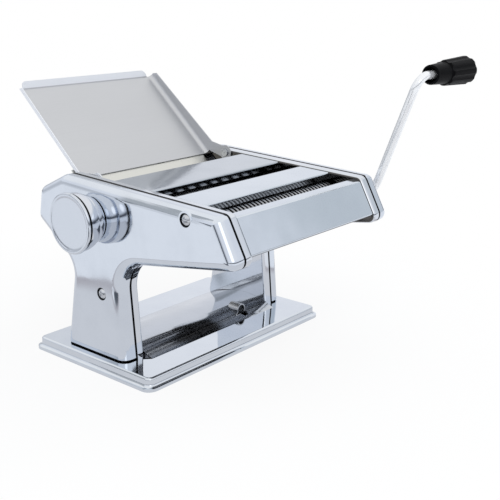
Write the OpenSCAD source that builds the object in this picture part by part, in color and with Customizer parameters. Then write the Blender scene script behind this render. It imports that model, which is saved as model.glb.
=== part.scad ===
// Hand cranked pasta machine. Pressed side frames stand on a base pan and carry a pair of
// smooth rollers with a thickness regulator, two pairs of cutter rollers, a folding feed
// tray and a crank that plugs into any of three roller sockets.
// X runs along the rollers with the crank at +X, the front faces -Y, Z is up, and the
// origin is on the table under the base, midway along its width.

/* [Base] */
// Width of the base pan along the rollers
base_w = 209.8; // [204:0.2:240]
// Depth of the base pan from front to back
base_d = 136.2; // [126:0.2:165]
// Distance of the pan's front edge in front of the origin
base_front = 65.7; // [60:0.1:72]
// Height of the pan's top face above the table
base_top = 9.7; // [9:0.1:14]
// Thickness of the base sheet
base_sheet = 1; // [0.6:0.1:1.5]
// Corner radius of the pan in plan
base_corner = 8; // [7:0.5:20]
// Height of the upright lip at the foot of the rim
rim_lip = 2.3; // [1.6:0.1:2.8]
// Radius of the hollow in the rim
rim_cove = 3.2; // [2:0.1:3.6]
// Radius of the rim's top edge
rim_round = 2; // [1.6:0.1:2.4]
// Diameter of a rubber foot
foot_d = 16; // [10:1:24]
// Highest point of the ramp above the base top, at the corner before rounding
ramp_rise = 10.9; // [9:0.1:11.5]
// Y of the ramp's front edge
ramp_front_y = -37; // [-40:0.5:-36]
// Y of the ramp's highest corner
ramp_crest_y = -6; // [-8:0.5:-2]
// Radius of the ramp's bow over its highest corner
ramp_crest_r = 80; // [60:1:85]
// Bore of the clamp socket
clamp_bore_d = 8; // [6:0.1:8.6]
// X of the clamp socket
clamp_x = 42; // [20:1:55]
// Depth of the clamp socket
clamp_depth = 11; // [8:0.5:12]

/* [Side frames] */
// Clear width between the two inner frames
inner_w = 148; // [130:0.5:160]
// Depth of an inner frame from its web to the seam
frame_depth = 7.1; // [6:0.1:9]
// Width of the dark seam between inner frame and outer cover
seam_gap = 0.8; // [0.4:0.1:1.2]
// Depth of an outer cover from the seam to its flat face
cover_depth = 12.6; // [12:0.1:16]
// Thickness of the side sheets
sheet = 1.2; // [0.8:0.1:1.4]
// Edge radius of an inner frame
frame_edge = 2.4; // [1.8:0.1:4]
// Edge radius of an outer cover
cover_edge = 7.5; // [4:0.1:9]
// Height of the covers' lower edge above the base
cover_lift = 1.3; // [0.8:0.1:5]

/* [Side outline] */
// Y of the upper front corner
brow_y = -123.1; // [-128:0.1:-118]
// Z of the upper front corner
brow_z = 139.6; // [137:0.1:146]
// Y of the lower front corner
chin_y = -141.6; // [-150:0.1:-140]
// Z of the lower front corner
chin_z = 105.1; // [98:0.1:106]
// Y of the corner where the arm meets the leg
arch_y = -22.6; // [-27:0.1:-19]
// Z of the corner where the arm meets the leg
arch_z = 86.6; // [76:0.1:88]
// Y of the leg's front at the base
toe_y = -28.3; // [-30:0.1:-26]
// Y of the leg's back at the base
heel_y = 41.5; // [39:0.1:50]
// Y of the waist behind the leg
waist_y = 28.6; // [26:0.1:32]
// Z of the waist behind the leg
waist_z = 77.2; // [68:0.1:80]
// Y of the lower rear corner
tail_y = 70.2; // [69:0.1:80]
// Z of the lower rear corner
tail_z = 108.4; // [100:0.1:112]
// Y of the upper rear corner
shoulder_y = 65.1; // [63:0.1:74]
// Z of the upper rear corner
shoulder_z = 133.2; // [130:0.1:140]
// Y of the highest corner
crown_y = 36; // [33:0.1:40]
// Z of the highest corner
crown_z = 146.8; // [146:0.1:152]
// Radius of the upper front corner
brow_r = 6; // [4:0.5:8]
// Radius of the lower front corner
chin_r = 6.5; // [4:0.5:9]
// Radius where the arm meets the leg
arch_r = 24; // [12:0.5:26]
// Radius of the waist behind the leg
waist_r = 18; // [10:0.5:20]
// Radius of the two rear corners
rear_r = 8; // [5:0.5:9]
// Radius of the highest corner
crown_r = 10; // [6:0.5:14]

/* [Smooth rollers] */
// Diameter of the smooth rollers
smooth_d = 28; // [26:0.1:29]
// Smallest gap between the smooth rollers
smooth_gap = 0.4; // [0.3:0.05:0.8]
// Throw of the regulator cams
cam_throw = 1.2; // [0.8:0.05:1.3]
// Y of the regulator axis
regulator_y = 2; // [0:0.1:4]
// Depth of the regulator axis below the highest corner
regulator_drop = 28.3; // [26.8:0.1:31]
// Diameter of the regulator shaft
regulator_d = 6; // [5:0.1:6.2]
// Diameter of the core tube inside the adjustable roller
core_d = 16.5; // [16:0.1:16.8]
// Wall of the adjustable roller's neck
neck_wall = 1.5; // [1.2:0.1:1.8]
// Diameter of the fixed roller's journals
fixed_journal_d = 12; // [10:0.1:13]

/* [Cutter rollers] */
// Outside diameter of the cutter rollers
cutter_d = 24; // [22:0.1:25]
// How far the blades of a pair reach past each other
blade_overlap = 0.8; // [0.4:0.1:1.2]
// Side clearance between blades of a pair
blade_gap = 0.25; // [0.2:0.01:0.3]
// Depth of the grooves between blades
groove_depth = 2.8; // [2.2:0.1:3.4]
// Width that the narrow cutter cuts
narrow_w = 2; // [1.8:0.1:3]
// Width that the wide cutter cuts
wide_w = 6.5; // [5:0.1:9]
// Y of the front cutter's axis
cutter_y = -116; // [-117:0.1:-114]
// Depth of the cutter axes below the upper front corner
cutter_drop = 18.6; // [17.6:0.1:20.6]
// Free distance between the two cutter pairs
pair_gap = 4; // [3:0.1:7]
// Diameter of the cutter journals
journal_d = 9; // [7:0.1:10]

/* [Bearings and gears] */
// Radial running clearance of shafts in their bores
run_gap = 0.05; // [0.03:0.01:0.08]
// Wall of the flanged bushes
bush_wall = 2; // [1.5:0.1:2.5]
// Thickness of a bush flange
bush_flange = 1; // [0.8:0.1:1.2]
// Width of the gears
gear_w = 6; // [5:0.1:6.5]
// Teeth of each smooth roller gear
smooth_teeth = 12; // [12:1:13]
// Teeth of each cutter gear
cutter_teeth = 14; // [14:1:18]
// Diameter of the crank hubs
hub_d = 14; // [12:0.1:14.5]
// Diameter of the tie rods
tie_d = 8; // [6:0.5:10]

/* [Regulator knob] */
// Diameter of the knob's face disc
knob_d = 46; // [42:0.5:56]
// Thickness of the face disc
knob_face = 2.4; // [2.2:0.1:4]
// Length of the knob body behind the face disc
knob_body = 18.2; // [17:0.1:22]
// Diameter of the knob at the cover
knob_root_d = 35; // [33:0.5:40]
// How far the knob pulls out
knob_pull = 3.5; // [2:0.1:3.8]
// Number of regulator stops over half a turn
stops = 7; // [5:1:10]

/* [Feed tray] */
// Half turn angle of the tray above level
tray_angle = 42.3; // [40:0.1:46]
// Y of the tray's lower edge
tray_y = 40; // [39:0.1:42]
// Z of the tray's lower edge
tray_z = 140; // [139:0.1:141]
// Length of the tray along its slope
tray_len = 94.9; // [70:0.1:110]
// Thickness of the tray sheet
tray_sheet = 0.8; // [0.6:0.1:1]
// Bend radius between the tray and its right wall
tray_bend = 5; // [3:0.1:6]
// Height of the right wall at the top end
tray_wall = 8.4; // [7.5:0.1:12]
// Height of the right wall at the lower end
tray_root_wall = 13.2; // [12.5:0.1:14]
// Bend radius between the tray and its low left wall
tray_left_bend = 2; // [1.5:0.1:3]
// Height of the low left wall
tray_left_wall = 4.3; // [3.4:0.1:8]
// Length of the lip at the tray's top
tray_lip = 7; // [4:0.1:9]
// Angle that the lip is bent up
tray_lip_angle = 38; // [20:1:60]
// Distance of the pivot below the tray's lower edge, along the slope
pivot_back = 14.3; // [13:0.1:16]
// Height of the pivot over the tray's sheet
pivot_up = 17.2; // [16:0.1:18]
// Radius of the right wall's ear round the pivot
ear_r = 6.5; // [5.5:0.1:7]
// Radius of the left wall's small ear
left_ear_r = 4.4; // [3.8:0.1:5]
// Diameter of the pivot rivets
rivet_d = 4; // [3:0.1:5]

/* [Crank] */
// Throw of the crank from its axis to the grip
crank_throw = 103.5; // [80:0.5:130]
// Lean of the crank arm from upright, towards the front
crank_lean = 21.2; // [0:0.1:45]
// Diameter of the crank rod
rod_d = 6.8; // [6:0.1:7]
// Bend radius of the crank rod
rod_bend = 12; // [9:0.5:14]
// Gap between the right cover and the crank arm
crank_reach = 8; // [7:0.5:16]
// Length of the grip with its domed end
grip_len = 66.5; // [58:0.5:80]
// Diameter of the grip at its mouth
grip_mouth_d = 15.6; // [15:0.1:17]
// Diameter of the grip at its end
grip_end_d = 23.2; // [22:0.1:28]
// Length of the plain collar at the grip's mouth
grip_collar = 21; // [16:0.5:26]
// Number of flutes round the grip
flutes = 8; // [6:1:9]
// Depth of the flutes
flute_depth = 0.9; // [0.5:0.1:1.2]

/* [Fixings] */
// Thread diameter of the screws
screw_d = 4; // [3:0.1:4.4]
// Head diameter of the screws
screw_head_d = 8; // [7:0.1:8.6]
// Y of the left cover's upper screw
upper_screw_y = -95.5; // [-100:0.1:-90]
// Z of the covers' upper screws
upper_screw_z = 133.6; // [131:0.1:134.5]
// Y of the covers' lower screws
lower_screw_y = -5.3; // [-10:0.1:4]
// Z of the covers' lower screws
lower_screw_z = 60.7; // [40:0.1:70]

/* [Hidden] */
$fn = 64;
fit = 0.1;
eps = 0.01;
arc_steps = 6;
broad_steps = 10;
broad_r = 12;

chrome = [0.80, 0.83, 0.87];
satin = [0.78, 0.79, 0.80];
steel = [0.70, 0.72, 0.74];
nylon = [0.92, 0.91, 0.86];
brass = [0.72, 0.60, 0.36];
black = [0.05, 0.05, 0.06];

// Places along X
half_in = inner_w / 2;
web_out = half_in + sheet;
seam_x = half_in + frame_depth;
cover_edge_x = seam_x + seam_gap;
cover_face = cover_edge_x + cover_depth;
cover_inner = cover_face - sheet;
end_gap = 0.4;
roller_end = half_in - bush_flange - end_gap;
bush_out = 1.4;
gear_x = web_out + bush_out + end_gap;
gear_end = gear_x + gear_w;
hub_end = cover_inner - 0.8;
journal_left = web_out + 4;

// Places of the roller axes
regulator_z = crown_z - regulator_drop;
cutter_z = brow_z - cutter_drop;
smooth_r = smooth_d / 2;
adjust_y = regulator_y - cam_throw;
fixed_y = regulator_y + cam_throw + smooth_d + smooth_gap;
cutter_r = cutter_d / 2;
cutter_pitch = cutter_d - blade_overlap;
narrow_drive_y = cutter_y;
narrow_driven_y = narrow_drive_y + cutter_pitch;
wide_drive_y = narrow_drive_y + 2 * cutter_d + pair_gap;
wide_driven_y = wide_drive_y + cutter_pitch;
narrow_nip = narrow_drive_y + cutter_pitch / 2;
wide_nip = wide_drive_y + cutter_pitch / 2;
groove_r = cutter_r - groove_depth;

// Plane helpers
function unit(v) = v / norm(v);
function left_of(v) = [-v[1], v[0]];
function turned(v, a) = [v[0] * cos(a) - v[1] * sin(a), v[0] * sin(a) + v[1] * cos(a)];
function flat(p) = [p[0], p[1]];
function turn_at(a, b, c) =
    let (e = unit(b - a), f = unit(c - b)) atan2(e[0] * f[1] - e[1] * f[0], e * f);
// Points of a rounded corner at b, on the way from a to c
function corner_arc(a, b, c, r, steps) =
    let (e = unit(b - a), q = turn_at(a, b, c), start = b - e * r * tan(abs(q) / 2),
         centre = start + left_of(e) * r * sign(q))
    [for (k = [0:steps]) centre + turned(start - centre, q * k / steps)];
// A corner moved inwards by d between its two edges
function inset_corner(a, b, c, d) =
    let (m = left_of(unit(b - a)), n = left_of(unit(c - b))) b + (m + n) * d / (1 + m * n);
// A broad corner takes more steps
function corner_steps(r) = r > broad_r ? broad_steps : arc_steps;
// Rounded closed outline of [u, v, radius] corners in counter-clockwise order, inset by d
function rounded_ring(corners, d) =
    let (n = len(corners),
         inner = [for (i = [0:n - 1]) inset_corner(flat(corners[(i + n - 1) % n]),
             flat(corners[i]), flat(corners[(i + 1) % n]), d)])
    [for (i = [0:n - 1])
        let (a = inner[(i + n - 1) % n], b = inner[i], c = inner[(i + 1) % n],
             grow = turn_at(a, b, c) > 0 ? -d : d)
        each corner_arc(a, b, c, max(0.3, corners[i][2] + grow), corner_steps(corners[i][2]))];
// Rounded open path of [u, v, radius] points
function rounded_path(points, steps) =
    let (n = len(points))
    concat([flat(points[0])],
        [for (i = [1:1:n - 2]) each corner_arc(flat(points[i - 1]), flat(points[i]),
            flat(points[i + 1]), points[i][2], steps)],
        [flat(points[n - 1])]);
// The same path moved to its left by t
function shifted_path(path, t) =
    let (n = len(path))
    [for (i = [0:n - 1])
        i == 0 ? path[0] + left_of(unit(path[1] - path[0])) * t :
        i == n - 1 ? path[i] + left_of(unit(path[i] - path[i - 1])) * t :
        inset_corner(path[i - 1], path[i], path[i + 1], t)];
// A line from a to b that bows out to its right by sag in the middle
function bowed(a, b, sag) = [for (k = [0:arc_steps]) let (t = k / arc_steps)
    a + (b - a) * t - left_of(unit(b - a)) * 4 * sag * t * (1 - t)];
function backwards(list) = [for (i = [len(list) - 1:-1:0]) list[i]];
function sheet_outline(path, t) = concat(path, backwards(shifted_path(path, t)));

// A plane shape in Y and Z drawn out along X
module along_x(x0, x1) {
    translate([x0, 0, 0]) rotate([90, 0, 90]) linear_extrude(x1 - x0) children();
}
module rod_x(x0, x1, y, z, d) {
    translate([x0, y, z]) rotate([0, 90, 0]) cylinder(h = x1 - x0, d = d);
}
module bent_sheet(points, t, half) {
    along_x(-half, half) polygon(sheet_outline(rounded_path(points, arc_steps), t));
}
// A closed skin over a row of rings, with flat ends or joined end to end as a hoop
module skin(rings, hoop = false) {
    n = len(rings[0]);
    m = len(rings);
    ends = hoop ? [] : [[for (i = [0:n - 1]) i], [for (i = [n - 1:-1:0]) (m - 1) * n + i]];
    polyhedron(points = [for (r = rings) each r],
        faces = concat(ends,
            [for (k = [0:hoop ? m - 1 : m - 2], i = [0:n - 1]) let (q = (k + 1) % m) each [
                [k * n + i, q * n + (i + 1) % n, k * n + (i + 1) % n],
                [k * n + i, q * n + i, q * n + (i + 1) % n]]]), convexity = 10);
}

// Side outline, in Y and Z, carried below the base so that it can be cut off level
below = 20;
leg_slope = (arch_y - toe_y) / (arch_z - base_top);
back_slope = (waist_y - heel_y) / (waist_z - base_top);
side_corners = [
    [brow_y, brow_z, brow_r], [chin_y, chin_z, chin_r], [arch_y, arch_z, arch_r],
    [toe_y - leg_slope * below, base_top - below, 1],
    [heel_y - back_slope * below, base_top - below, 1],
    [waist_y, waist_z, waist_r], [tail_y, tail_z, rear_r], [shoulder_y, shoulder_z, rear_r],
    [crown_y, crown_z, crown_r]];
function side_ring(x, d) = [for (p = rounded_ring(side_corners, d)) [x, p[0], p[1]]];
// A flat side plate and the hoop of [x, inset] stations that is pressed round its edge
module pressed_side(stations, x0, x1, d) {
    skin([for (s = stations) side_ring(s[0], s[1])], hoop = true);
    along_x(x0, x1) polygon(rounded_ring(side_corners, d));
}
// Chain of [x, inset] stations round a quarter bend between a flat face and an edge
function edge_bend(face, r, t, dir) = [for (k = [0:arc_steps]) let (a = 90 * k / arc_steps)
    [face - dir * (r - (r - t) * cos(a)), r - (r - t) * sin(a)]];
module above(z) {
    room = 4 * base_w;
    intersection() {
        children();
        translate([0, 0, z + room / 2]) cube(room, center = true);
    }
}

// Base
base_back = base_d - base_front;
base_corners = [[base_w / 2, -base_front, base_corner], [base_w / 2, base_back, base_corner],
    [-base_w / 2, base_back, base_corner], [-base_w / 2, -base_front, base_corner]];
function base_ring(z, d) = [for (p = rounded_ring(base_corners, d)) [p[0], p[1], z]];
// Rim stations [inset, z] of the face that lies t inside the outer one
function rim_stations(t) =
    let (a0 = asin(t / (rim_cove + t)), cove_z = rim_lip + rim_cove,
         round_z = base_top - rim_round)
    concat([[t, 0]],
        [for (k = [0:arc_steps]) let (a = a0 + (90 - a0) * k / arc_steps)
            [(rim_cove + t) * sin(a), cove_z - (rim_cove + t) * cos(a)]],
        [for (k = [0:arc_steps]) let (a = 90 * k / arc_steps)
            [rim_cove + rim_round - (rim_round - t) * cos(a),
             round_z + (rim_round - t) * sin(a)]]);
foot_screw_out = 3;
foot_screw_in = 14;
foot_screw_x = half_in + frame_depth + foot_screw_out;
foot_screw_ys = [toe_y + foot_screw_in, heel_y - foot_screw_in];
foot_head = 2.4;
foot_nut = 3;
foot_nut_d = 1.8 * screw_d;
foot_thread = base_sheet + 4;
foot_plate = 1.2;
foot_plate_in = 4;
foot_plate_gap = 0.4;

module base_plate() {
    stations = concat(backwards(rim_stations(base_sheet)), rim_stations(0));
    color(chrome) difference() {
        skin([for (s = stations) base_ring(s[1], s[0])]);
        for (x = [-1, 1], y = foot_screw_ys)
            translate([x * foot_screw_x, y, 0]) cylinder(h = base_top + 1, d = screw_d + 2 * fit);
    }
}

ramp_crest_z = base_top + ramp_rise;
ramp_rear_in = 6.5;
ramp_rear_y = heel_y - ramp_rear_in;
ramp_points = [[ramp_rear_y, base_top], [ramp_crest_y, ramp_crest_z, ramp_crest_r], [ramp_front_y, base_top]];
clamp_wall = 1;
clamp_end = 2;
clamp_set_back = 10;
clamp_y = ramp_front_y + clamp_set_back;
clamp_z = base_top + clamp_bore_d / 2 + clamp_wall;
clamp_out_d = clamp_bore_d + 2 * clamp_wall;
groove_ahead = 5;
groove_d = clamp_bore_d + 1;
ramp_half = half_in - fit;

// Bowed sheet with a groove leading to the clamp socket and a seat around it
module floor_ramp() {
    color(chrome) above(base_top) difference() {
        bent_sheet(ramp_points, base_sheet, ramp_half);
        translate([clamp_x, clamp_y, clamp_z]) rotate([-90, 0, 0]) {
            translate([0, 0, -clamp_set_back - groove_ahead])
                cylinder(h = clamp_set_back + groove_ahead, d = groove_d);
            translate([0, 0, -fit]) cylinder(h = clamp_depth + clamp_end + 2 * fit, d = clamp_out_d + 2 * fit);
        }
    }
}
// Round socket set into the ramp's front slope and closed at its far end
module clamp_socket() {
    color(steel) translate([clamp_x, clamp_y, clamp_z]) rotate([-90, 0, 0]) difference() {
        union() {
            cylinder(h = clamp_depth, d = clamp_out_d);
            translate([0, 0, clamp_depth])
                cylinder(h = clamp_end, d1 = clamp_out_d, d2 = clamp_out_d - 2 * clamp_end);
        }
        translate([0, 0, -1]) cylinder(h = clamp_depth + 1, d = clamp_bore_d);
    }
}
module rubber_feet() {
    inset = rim_cove + rim_round + foot_d / 2 + 3;
    color(black) for (x = [-1, 1], y = [inset - base_front, base_back - inset])
        translate([x * (base_w / 2 - inset), y, 0]) {
            cylinder(h = 2, d = foot_d);
            translate([0, 0, 2 - eps]) cylinder(h = base_top - base_sheet - 2 + eps, d = foot_d - 4);
        }
}
module foot_screws() {
    top = base_top + foot_plate;
    color(steel) for (x = [-1, 1], y = foot_screw_ys) translate([x * foot_screw_x, y, 0]) {
        translate([0, 0, base_top - base_sheet - foot_head]) cylinder(h = foot_head, d = screw_head_d);
        translate([0, 0, base_top - base_sheet - eps])
            cylinder(h = foot_thread + foot_plate, d = screw_d);
        translate([0, 0, top]) difference() {
            cylinder(h = foot_nut, d = foot_nut_d, $fn = 6);
            translate([0, 0, -1]) cylinder(h = foot_nut + 2, d = screw_d + fit);
        }
    }
}

// Side frames and covers, drawn on the right and mirrored for the left
lip_gap = 0.3;
lip_len = 4;
gear_relief = 0.7;
bearing_gap = 0.05;
bush_d = journal_d + 2 * (run_gap + bush_wall);
fixed_bush_d = fixed_journal_d + 2 * (run_gap + bush_wall);
core_window_d = core_d + 2 * (cam_throw + 0.3);
neck_d = core_d + 2 * (run_gap + neck_wall);
neck_window_d = neck_d + 2 * (cam_throw + 0.5);
cutter_axes = [narrow_drive_y, narrow_driven_y, wide_drive_y, wide_driven_y];
arm_slope = (chin_z - arch_z) / (chin_y - arch_y);
function arm_z(y) = chin_z + (y - chin_y) * arm_slope;
tie_inset = 8;
tie_places = [[(narrow_driven_y + wide_drive_y) / 2, arm_z((narrow_driven_y + wide_drive_y) / 2) + tie_inset],
    [(wide_driven_y + regulator_y) / 2, arm_z((wide_driven_y + regulator_y) / 2) + tie_inset + 3],
    [tail_y - 13, tail_z + 4]];
pivot = [tray_y, tray_z] + turned([-pivot_back, pivot_up], tray_angle);

module frame_shell() {
    inner_lip = sheet + lip_gap;
    stations = concat(edge_bend(half_in, frame_edge, 0, -1),
        [[seam_x, 0], [seam_x, inner_lip], [seam_x + lip_len, inner_lip],
         [seam_x + lip_len, inner_lip + sheet], [seam_x - sheet, inner_lip + sheet],
         [seam_x - 2 * sheet, sheet]],
        backwards(edge_bend(half_in, frame_edge, sheet, -1)));
    above(base_top) pressed_side(stations, half_in, web_out, frame_edge);
    foot_front = toe_y + foot_plate_in;
    foot_back = heel_y - foot_plate_in;
    translate([half_in + sheet / 2, foot_front, base_top])
        cube([cover_inner - foot_plate_gap - half_in - sheet / 2, foot_back - foot_front, foot_plate]);
}
module frame_common_holes() {
    for (y = cutter_axes) rod_x(half_in - 2, web_out + 2, y, cutter_z, bush_d + fit);
    rod_x(half_in - 2, web_out + 2, fixed_y, regulator_z, fixed_bush_d + fit);
    for (p = tie_places) rod_x(half_in - 2, web_out + 2, p[0], p[1], screw_d + fit);
    rod_x(half_in - 2, web_out + 2, pivot[0], pivot[1], rivet_d + fit);
    for (y = foot_screw_ys) translate([foot_screw_x, y, base_top - 1])
        cylinder(h = foot_plate + 2, d = screw_d + 2 * fit);
}
module left_inner_frame() {
    color(chrome) mirror([1, 0, 0]) difference() {
        frame_shell();
        frame_common_holes();
        rod_x(half_in - 2, web_out + 2, regulator_y, regulator_z, core_window_d);
    }
}
// The right frame's lip is cut away beside the front gear
module right_inner_frame() {
    color(chrome) difference() {
        frame_shell();
        frame_common_holes();
        rod_x(web_out + 1, seam_x + lip_len + 1, narrow_drive_y, cutter_z,
            2 * (cutter_gear_tip + gear_relief));
        rod_x(half_in - 2, web_out + 2, regulator_y, regulator_z, neck_window_d);
    }
}

seat_d = screw_head_d + 2;
seat_depth = 2;
seat_dish = 0.8;
index_hole_d = knob_root_d - 5;
ferrule_bore_d = hub_d + 1;
ferrule_d = ferrule_bore_d + 3;
socket_axes = [[narrow_drive_y, cutter_z], [wide_drive_y, cutter_z], [fixed_y, regulator_z]];
left_screws = [[upper_screw_y, upper_screw_z], [lower_screw_y, lower_screw_z]];
right_screws = [[(narrow_driven_y + wide_drive_y) / 2, upper_screw_z], [lower_screw_y, lower_screw_z]];

module cover_shell(screws) {
    stations = concat(edge_bend(cover_face, cover_edge, sheet, 1),
        [[cover_edge_x, sheet], [cover_edge_x, 0]],
        backwards(edge_bend(cover_face, cover_edge, 0, 1)));
    difference() {
        union() {
            above(base_top + cover_lift) pressed_side(stations, cover_inner, cover_face, cover_edge);
            for (p = screws) rod_x(cover_face - seat_depth, cover_face, p[0], p[1], seat_d + 2 * sheet);
        }
        for (p = screws) {
            rod_x(cover_face - 3, cover_face + 1, p[0], p[1], screw_d + 2 * fit);
            rod_x(cover_face - seat_dish, cover_face + 1, p[0], p[1], seat_d);
        }
    }
}
module left_side_cover() {
    color(chrome) mirror([1, 0, 0]) difference() {
        cover_shell(left_screws);
        rod_x(cover_face - 5, cover_face + 1, regulator_y, regulator_z, index_hole_d);
    }
}
module right_side_cover() {
    color(chrome) difference() {
        cover_shell(right_screws);
        for (p = socket_axes) rod_x(cover_face - 5, cover_face + 1, p[0], p[1], ferrule_d + fit);
    }
}
module post(p) {
    difference() {
        rod_x(web_out, cover_face - seat_depth, p[0], p[1], screw_d + 2.4);
        rod_x(web_out + 3, cover_face, p[0], p[1], screw_d + fit);
    }
}
module cover_posts() {
    color(steel) {
        for (p = right_screws) post(p);
        mirror([1, 0, 0]) for (p = left_screws) post(p);
    }
}
// Domed screw with a cross recess; its head stands on x = 0 and its shank runs to -X
module screw_x(len) {
    dome = 1.8;
    recess = 1;
    r = screw_head_d / 2;
    difference() {
        union() {
            rotate([0, 90, 0]) intersection() {
                cylinder(h = dome, d = screw_head_d);
                translate([0, 0, dome - (r * r + dome * dome) / (2 * dome)])
                    sphere(r = (r * r + dome * dome) / (2 * dome));
            }
            rod_x(-len, eps, 0, 0, screw_d);
        }
        for (a = [0, 90]) rotate([a, 0, 0])
            translate([dome, 0, 0]) cube([2 * recess, r * 1.1, recess], center = true);
    }
}
module cover_screws() {
    grip_len_in = 14;
    color(steel) {
        for (p = right_screws) translate([cover_face - seat_dish, p[0], p[1]]) screw_x(grip_len_in);
        mirror([1, 0, 0]) for (p = left_screws)
            translate([cover_face - seat_dish, p[0], p[1]]) screw_x(grip_len_in);
    }
}
tie_thread = 12;
module tie_rods() {
    color(steel) for (p = tie_places) difference() {
        rod_x(-half_in, half_in, p[0], p[1], tie_d);
        for (s = [-1, 1])
            translate([s * half_in, p[0], p[1]]) rotate([0, 90, 0])
                cylinder(h = 2 * tie_thread, d = screw_d + fit, center = true);
    }
}
module tie_rod_screws() {
    color(steel) for (p = tie_places, s = [0, 1]) mirror([s, 0, 0])
        translate([web_out, p[0], p[1]]) screw_x(sheet + tie_thread - 2);
}

// Sheet panels between the frames; each is 1 mm sheet with bent edges
panel_sheet = 1;
panel_half = half_in - fit;
panel_bend = 1.6;
cover_flange = 5.5;
slot_half = 11;
feed_edge_y = regulator_y - 1.5;
function top_z(y) = brow_z + (y - brow_y) * (crown_z - brow_z) / (crown_y - brow_y);
deck_drop = 1.2;
function deck_z(y) = top_z(y) - deck_drop;

module deck(rear, front) {
    color(chrome) bent_sheet([[rear, deck_z(rear) - cover_flange], [rear, deck_z(rear), panel_bend],
        [front, deck_z(front), panel_bend], [front, deck_z(front) - cover_flange]],
        panel_sheet, panel_half);
}
module top_cover() { deck(feed_edge_y, wide_nip + slot_half); }
module middle_cover() { deck(wide_nip - slot_half, narrow_nip + slot_half); }

panel_inset = 1.2;
face_dir = unit([chin_y - brow_y, chin_z - brow_z]);
face_in = -left_of(face_dir) * -panel_inset;
panel_brow = 2.8;
panel_chin = 7.4;
panel_top_bend = 2.6;
panel_top = [brow_y, brow_z] + face_in + face_dir * panel_brow;
panel_foot = [chin_y, chin_z] + face_in - face_dir * panel_chin;
module front_panel() {
    flange_end = narrow_nip - slot_half;
    color(chrome) bent_sheet([[flange_end, panel_top[1] + 0.4],
        [panel_top[0], panel_top[1], panel_top_bend], [panel_foot[0], panel_foot[1], panel_bend],
        [panel_foot[0] + 4.5, panel_foot[1] - 1.6]], panel_sheet, panel_half);
}
rear_inset = 1.5;
rear_flange = 14;
rear_rise = 3.7;
rear_bend = 6;
rear_foot = 9;
rear_foot_drop = 4;
module rear_panel() {
    color(chrome) bent_sheet([[shoulder_y - rear_flange, shoulder_z + rear_rise],
        [shoulder_y - rear_inset, shoulder_z - rear_inset, rear_bend],
        [tail_y - 1.6 * rear_inset, tail_z + panel_sheet, rear_bend],
        [tail_y - rear_foot, tail_z - rear_foot_drop]], -panel_sheet, panel_half);
}

// Tray frame: Y along the slope, Z square to the sheet
module on_tray() {
    translate([0, tray_y, tray_z]) rotate([tray_angle, 0, 0]) children();
}
guide_gap = 0.3;
guide_len = 18;
guide_low = 8;
guide_tab = 6;
module feed_guide() {
    color(satin) on_tray() translate([0, 0, -tray_sheet - guide_gap - panel_sheet]) {
        translate([-half_in + guide_tab, -guide_low, 0])
            cube([inner_w - 2 * guide_tab, guide_len, panel_sheet]);
        translate([-panel_half, guide_len - guide_low - 8, 0])
            cube([2 * panel_half, 8, panel_sheet]);
    }
}

tray_half = half_in - 0.6;
tray_left = tray_left_bend - tray_half;
tray_right = tray_half - tray_bend;
tray_end_cut = 3;
ear_root = 0.8;
lip_inset = 1.5;
// One side of the tray: its bend of radius r, and a wall that falls from the root to the end
module tray_side(r, root_wall, end_wall, ear) {
    p = [-pivot_back, pivot_up + tray_sheet];
    root = [3.2, root_wall];
    end = [tray_len - tray_end_cut * end_wall / tray_wall, end_wall];
    up = left_of(unit(root - p)) * ear * ear_root;
    translate([tray_half - r, 0, r]) rotate([-90, 0, 0]) linear_extrude(tray_len) intersection() {
        difference() {
            circle(r = r);
            circle(r = r - tray_sheet);
        }
        square(r + 1);
    }
    along_x(tray_half - tray_sheet, tray_half) difference() {
        union() {
            polygon([[0, r], [tray_len, r], end, root, p + up, p - up]);
            translate(p) circle(r = ear);
        }
        translate(p) circle(d = rivet_d + 2 * run_gap);
    }
}
module feed_tray() {
    lip_left = tray_left + lip_inset;
    lip_right = tray_right - lip_inset;
    lip_corners = [[lip_left, 0, 0.3], [lip_right, 0, 0.3],
        [lip_right, tray_lip, tray_lip - 0.6], [lip_left, tray_lip, tray_lip / 2]];
    color(satin) on_tray() translate([0, 0, -tray_sheet]) {
        translate([tray_left, 0, 0]) cube([tray_right - tray_left, tray_len, tray_sheet]);
        tray_side(tray_bend, tray_root_wall, tray_wall, ear_r);
        mirror([1, 0, 0]) tray_side(tray_left_bend, tray_left_wall, tray_left_wall, left_ear_r);
        translate([0, tray_len - tray_sheet * sin(tray_lip_angle), 0]) rotate([tray_lip_angle, 0, 0])
            linear_extrude(tray_sheet) polygon(rounded_ring(lip_corners, 0));
    }
}
// Each rivet's outer end is set flush in the frame
module tray_rivets() {
    head = 1.2;
    shank_in = half_in - tray_half + tray_sheet + 0.2;
    color(steel) for (s = [0, 1]) mirror([s, 0, 0]) {
        rod_x(half_in - shank_in, web_out, pivot[0], pivot[1], rivet_d);
        rod_x(half_in - shank_in - head, half_in - shank_in + eps, pivot[0], pivot[1], rivet_d + 2.4);
    }
}

// Scrapers and combs
blade = 0.8;
scraper_gap = 0.4;
scraper_off = 9;
scraper_h = 8;
module scraper(y, z, side) {
    top = z - sqrt(pow(smooth_r + scraper_gap, 2) - pow(scraper_off - blade / 2, 2));
    translate([-panel_half, y + side * scraper_off - blade / 2, top - scraper_h])
        cube([2 * panel_half, blade, scraper_h]);
}
module smooth_scrapers() {
    color(steel) {
        scraper(adjust_y, regulator_z, -1);
        scraper(fixed_y, regulator_z, 1);
    }
}
function blade_count(w) = floor((2 * roller_end - w) / (2 * w));
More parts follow.
